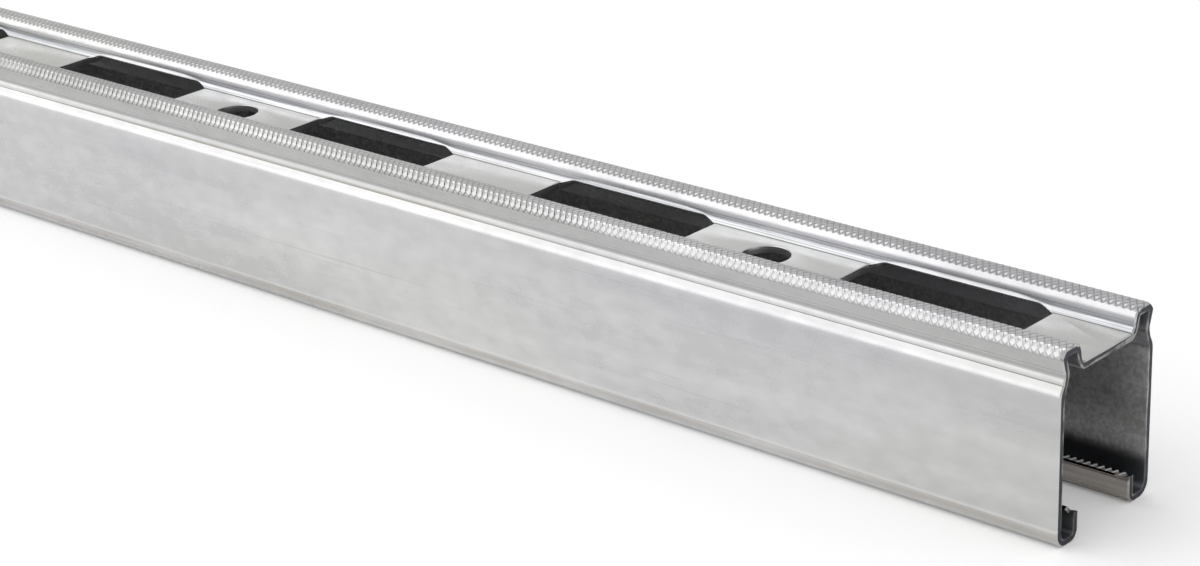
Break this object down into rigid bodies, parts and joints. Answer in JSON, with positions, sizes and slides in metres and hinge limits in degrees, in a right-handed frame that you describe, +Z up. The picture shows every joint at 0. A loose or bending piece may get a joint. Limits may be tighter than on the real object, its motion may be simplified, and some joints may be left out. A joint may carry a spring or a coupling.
{
  "type": "strut channel",
  "caption": "Roll-formed steel strut channel with a mouth between inturned lips, a recessed slotted back, two knurled ridges and a groove along each side.",
  "frame": {"origin": "mid length, midway between the side walls, at the level on which the lips rest", "axes": "+X along the channel towards the end that has 22 mm of web before its first slot, +Y across, +Z up from the lips to the slotted back"},
  "size_m": [1, 0.041, 0.051],
  "materials": {
    "galvanised_steel": "continuously galvanised strip, semi-bright, with faint roll lines and a light grey haze"
  },
  "bodies": {
    "root": {"strut_channel": "galvanised_steel"}
  },
  "joints": []
}
